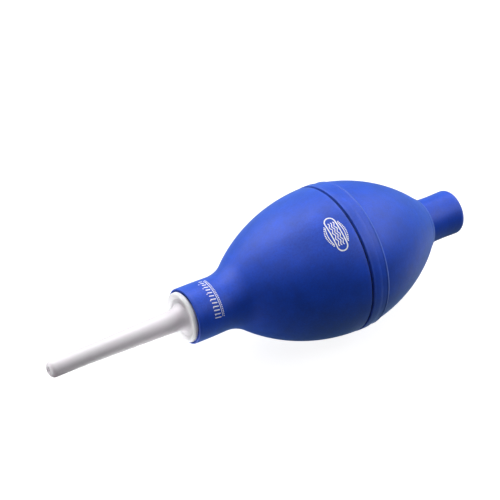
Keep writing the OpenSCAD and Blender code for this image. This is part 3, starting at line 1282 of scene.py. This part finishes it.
class BLOWER_OT_valves(bpy.types.Operator):
    """Finishes both check valves: their bodies, the disc, the ball and the coil spring"""

    bl_idname = "blower.valves"
    bl_label = "Valves"

    def execute(self, context):
        moulded = white_plastic("valve_plastic", (0.74, 0.74, 0.71), 0.45)
        paint_node("outlet_valve_seat", moulded)
        paint_node("outlet_valve_cage", moulded)
        paint_node("outlet_valve_disc", soft_seal("silicone", (0.52, 0.53, 0.50), 0.38))
        brass = turned_metal("turned_brass", (0.78, 0.57, 0.25), 0.28, 9000)
        paint_node("inlet_valve_body", brass)
        paint_node("inlet_valve_retainer", brass)
        black = soft_seal("seal_rubber", (0.012, 0.012, 0.014), 0.40)
        paint_node("inlet_valve_seat", black)
        paint_node("inlet_valve_seal", black)
        paint_node("inlet_valve_ball", turned_metal("ball_steel", (0.66, 0.67, 0.69), 0.14, 2500))
        self.build_spring()
        return {"FINISHED"}

    def build_spring(self):
        """A round-wire helix whose ends close flat."""
        box = Box("inlet_valve_spring")
        wire = 0.00016
        mean = box.radius - wire
        turns = settings("blower_tail").spring_turns
        back, front = box.back + wire, box.front - wire
        steps = 220
        path = []
        for i in range(steps + 1):
            t = i / steps
            rise = min(max((t - 0.12) / 0.76, 0), 1)
            angle = 2 * math.pi * turns * t
            x = back + (front - back) * rise
            path.append(Vector((x, mean * math.sin(angle), AXIS_HEIGHT + mean * math.cos(angle))))
        bm = bmesh.new()
        tube_into(bm, path, wire, 10)
        spring = finish_mesh(bm, "valve_spring", 60)
        dress(spring, wire_metal("spring_wire", (0.62, 0.63, 0.65)))
        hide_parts("inlet_valve_spring")
        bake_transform(spring)


# The printed marks


class Sheet:
    """A patch of the rubber's surface for print. Its u runs round the bulb and its v along it."""

    def __init__(self, station, angle, radius_at, height):
        self.station, self.angle, self.radius_at, self.height = station, angle, radius_at, height
        self.unit = radius_at(station)
        self.bm = bmesh.new()

    def point(self, u, v):
        """The place on the surface."""
        x = self.station + v
        return on_ring(x, self.radius_at(x) + self.height, self.angle + u / self.unit)

    def stroke(self, path, width, closed=False):
        """A line of even width along a path of (u, v) points, with round ends."""
        rows = []
        count = len(path)
        for i, (u, v) in enumerate(path):
            ahead = path[(i + 1) % count] if closed else path[min(i + 1, count - 1)]
            behind = path[i - 1] if closed else path[max(i - 1, 0)]
            along = Vector((ahead[0] - behind[0], ahead[1] - behind[1])).normalized()
            side = Vector((-along.y, along.x)) * width / 2
            low = self.bm.verts.new(self.point(u - side.x, v - side.y))
            high = self.bm.verts.new(self.point(u + side.x, v + side.y))
            rows.append((low, high))
        for i in range(count if closed else count - 1):
            first, second = rows[i], rows[(i + 1) % count]
            self.bm.faces.new((first[0], second[0], second[1], first[1]))
        if not closed:
            self.dot(*path[0], width / 2)
            self.dot(*path[-1], width / 2)

    def dot(self, u, v, radius, steps=14):
        """A filled dot."""
        middle = self.bm.verts.new(self.point(u, v))
        rim = []
        for k in range(steps):
            angle = 2 * math.pi * k / steps
            edge = self.point(u + radius * math.cos(angle), v + radius * math.sin(angle))
            rim.append(self.bm.verts.new(edge))
        for k in range(steps):
            self.bm.faces.new((middle, rim[k], rim[(k + 1) % steps]))

    def done(self, name, material):
        """The finished print, a thin skin that faces outwards."""
        for face in self.bm.faces:
            face.normal_update()
            middle = face.calc_center_median()
            out = middle - Vector((middle.x, 0, AXIS_HEIGHT))
            if face.normal.dot(out) < 0:
                face.normal_flip()
            face.smooth = True
        mesh = bpy.data.meshes.new(name)
        self.bm.to_mesh(mesh)
        self.bm.free()
        dress(placed(name, mesh), material, "bulb")


def line(start, end, steps=12):
    """Points of a straight line."""
    return [
        (start[0] + (end[0] - start[0]) * i / steps, start[1] + (end[1] - start[1]) * i / steps)
        for i in range(steps + 1)
    ]


class BLOWER_OT_print(bpy.types.Operator):
    """Prints the generic air mark on the front shell and the band of bars on the neck"""

    bl_idname = "blower.print"
    bl_label = "Printed Marks"

    def execute(self, context):
        p = settings("blower_print")
        white = ink("print_ink", p.ink)
        self.air_mark(p, white)
        self.neck_band(p, white)
        return {"FINISHED"}

    def air_mark(self, p, white):
        """A long oval that holds waves of air, with an arc of dots on both sides."""
        s = Shells()
        sheet = Sheet(s.seam + p.mark_station, p.mark_angle, s.front, p.height)
        half, radius = 0.0045, 0.0019
        oval = []
        for centre, start in ((half, -90), (-half, 90)):
            for k in range(17):
                angle = math.radians(start + 180 * k / 16)
                oval.append((centre + radius * math.cos(angle), radius * math.sin(angle)))
            far = -centre
            oval += line((centre, oval[-1][1]), (far, oval[-1][1]), 16)[1:-1]
        sheet.stroke(oval, 0.00044, closed=True)
        for k in range(3):
            v = (k - 1) * 0.00092
            wave = []
            for i in range(49):
                u = -0.0043 + 0.0086 * i / 48
                wave.append((u, v + 0.00026 * math.sin(2 * math.pi * u / 0.0022)))
            sheet.stroke(wave, 0.00034)
        for side in (-1, 1):
            rise = 0.0014 if side > 0 else 0.0011
            for k in range(13):
                u = (k - 6) * 0.00062
                sheet.dot(u, side * (0.0026 + rise * math.cos(u / 0.0026)), 0.00024)
            bow = []
            for i in range(25):
                u = -0.0034 + 0.0068 * i / 24
                bow.append((u, side * (0.0021 + 0.8 * rise * math.cos(u / 0.0030))))
            sheet.stroke(bow, 0.0003)
        sheet.done("air_mark", white)

    def neck_band(self, p, white):
        """Bars of growing height beside a row of dots, round the neck."""
        b = settings("blower_bulb")
        s = Shells()
        swell = b.neck_radius + b.neck_swell

        def radius_at(x):
            t = min(max((x - s.neck_centre[0]) / SWELL_RUN, 0), 1)
            return b.neck_radius + (swell - b.neck_radius) * t

        middle = (p.band_from + p.band_to) / 2
        sheet = Sheet(s.seam + p.band_station, middle, radius_at, p.height)
        half = (p.band_to - p.band_from) / 2 * sheet.unit
        bars = 13
        for k in range(bars):
            u = half * (2 * k / (bars - 1) - 1)
            reach = 0.0006 + 0.0012 * (1 - k / (bars - 1))
            sheet.stroke(line((u, -0.0003), (u + 0.0003, reach), 6), 0.00037)
            if k % 2:
                sheet.dot(u, 0.0016, 0.0002)
        sheet.stroke(line((-half, -0.0010), (half, -0.0010), 60), 0.0002)
        for k in range(2 * bars - 1):
            u = half * (2 * k / (2 * bars - 2) - 1)
            sheet.dot(u, -0.0016, 0.0002)
        sheet.done("neck_print", white)


# Floor, lights and camera

# Each light's name, its turn from the camera and its height in degrees, and its power in watts
STUDIO_LIGHTS = (
    ("front_overhead", 0, 62, 0.95),
    ("rear_overhead", 180, 62, 2.11),
    ("rear_left_overhead", 240, 62, 1.97),
    ("right_side", 90, 35, 2.30),
    ("right_rear", 135, 35, 1.55),
    ("left_rear", 225, 35, 1.72),
    ("left_side", 270, 8, 2.15),
    ("low_right_bounce", 120, -25, 0.50),
    ("low_left_bounce", 300, -25, 1.80),
)


def direction(azimuth, elevation):
    """The unit vector towards a place at that azimuth and elevation."""
    level = math.cos(elevation)
    return Vector((math.sin(azimuth) * level, -math.cos(azimuth) * level, math.sin(elevation)))


class BLOWER_OT_stage(bpy.types.Operator):
    """Sets the pale floor, the soft lights and the camera"""

    bl_idname = "blower.stage"
    bl_label = "Stage"

    def execute(self, context):
        studio = settings("blower_studio")
        scene = context.scene
        scene.view_settings.view_transform = "Standard"
        scene.view_settings.look = "None"
        aim = Vector((SEAM.front - 0.0004, 0, AXIS_HEIGHT)) + Vector(studio.aim)
        for name, turn, height, power in STUDIO_LIGHTS:
            self.area(name, studio, aim, turn, height, power * studio.brightness)
        world = bpy.data.worlds.new("studio")
        world.use_nodes = True
        world.node_tree.nodes["Background"].inputs["Color"].default_value = (0.9, 0.94, 1, 1)
        world.node_tree.nodes["Background"].inputs["Strength"].default_value = 0.01
        scene.world = world
        root = Box("nozzle_collar").front
        self.bounce("nozzle_bounce", root - 0.006, root + 0.036, studio.nozzle_bounce)
        self.bounce("tail_bounce", Box("tail_plug").back, SEAM.back, studio.tail_bounce)
        self.floor(studio)
        self.camera(scene, studio, aim)
        return {"FINISHED"}

    def floor(self, studio):
        """A white floor that curves up into a surround. It glows as a lit white table does."""
        reach, bend = 2.0, 0.8
        outline = [(reach - bend, 0)] + arc((reach - bend, bend), bend, -90, 0, 12)
        outline += arc((0, bend), reach, 0, 90, 24)[1:-1]
        bm = bmesh.new()
        steps = 64
        rings = []
        for radius, height in outline:
            ring = []
            for k in range(steps):
                angle = 2 * math.pi * k / steps
                ring.append(bm.verts.new((radius * math.cos(angle), radius * math.sin(angle), height)))
            rings.append(ring)
        for first, second in zip(rings, rings[1:]):
            bridge(bm, first, second)
        bm.faces.new(rings[0])
        bm.faces.new(rings[-1])
        bmesh.ops.recalc_face_normals(bm, faces=bm.faces)
        mesh = bpy.data.meshes.new("floor")
        bm.to_mesh(mesh)
        bm.free()
        obj = placed("floor", mesh)
        obj.location.z = -0.0001
        mesh.materials.append(white_floor("white_floor", studio.floor_glow))
        obj.visible_diffuse = False
        obj.visible_glossy = False
        obj.visible_transmission = False
        obj.visible_shadow = False

    def area(self, name, studio, aim, turn, height, power):
        """A square soft light that faces the aim. Its turn is counted from the camera's."""
        light = bpy.data.lights.new(name, "AREA")
        light.size = 0.36
        light.energy = power
        obj = placed(name, light)
        away = direction(studio.azimuth + math.radians(turn), math.radians(height))
        obj.location = aim + away * 0.75
        obj.rotation_euler = (-away).to_track_quat("-Z", "Y").to_euler()
        obj.visible_camera = False

    def bounce(self, name, back, front, power):
        """The light that the white table gives back to what hangs over it, from one x to another."""
        light = bpy.data.lights.new(name, "AREA")
        light.shape = "RECTANGLE"
        light.size = front - back
        light.size_y = 0.05
        light.energy = power
        obj = placed(name, light)
        obj.location = ((back + front) / 2, 0, 0.0005)
        obj.rotation_euler = (math.pi, 0, 0)
        obj.visible_camera = False

    def camera(self, scene, studio, aim):
        """The camera, looking at its aim from the azimuth and elevation."""
        away = direction(studio.azimuth, studio.elevation)
        data = bpy.data.cameras.new("camera")
        data.lens = studio.lens
        data.sensor_width = 36
        data.clip_start, data.clip_end = 0.05, 20
        obj = placed("camera", data)
        obj.location = aim + away * studio.distance
        obj.rotation_euler = (-away).to_track_quat("-Z", "Y").to_euler()
        scene.camera = obj


OPERATORS = (
    BLOWER_OT_stage,
    BLOWER_OT_front_shell,
    BLOWER_OT_rear_shell,
    BLOWER_OT_nozzle,
    BLOWER_OT_tail,
    BLOWER_OT_filter,
    BLOWER_OT_valves,
    BLOWER_OT_print,
)


class BLOWER_PT_panel(bpy.types.Panel):
    """Lists the blower's pieces and their settings"""

    bl_label = "Dust Blower"
    bl_idname = "BLOWER_PT_panel"
    bl_space_type = "VIEW_3D"
    bl_region_type = "UI"
    bl_category = "Blower"

    def draw(self, context):
        for operator in OPERATORS:
            self.layout.operator(operator.bl_idname)
        for group, kind in GROUPS.items():
            box = self.layout.box()
            box.label(text=kind.__doc__)
            for name in kind.__annotations__:
                box.prop(getattr(context.scene, group), name)


def register():
    """Registers the settings, the operators and the panel."""
    for group, kind in GROUPS.items():
        bpy.utils.register_class(kind)
        setattr(bpy.types.Scene, group, PointerProperty(type=kind))
    for operator in OPERATORS:
        bpy.utils.register_class(operator)
    bpy.utils.register_class(BLOWER_PT_panel)


def unregister():
    """Takes them all out again."""
    bpy.utils.unregister_class(BLOWER_PT_panel)
    for operator in reversed(OPERATORS):
        bpy.utils.unregister_class(operator)
    for group, kind in GROUPS.items():
        delattr(bpy.types.Scene, group)
        bpy.utils.unregister_class(kind)


def main():
    register()
    for operator in OPERATORS:
        group, name = operator.bl_idname.split(".")
        getattr(getattr(bpy.ops, group), name)()


if __name__ == "__main__":
    main()
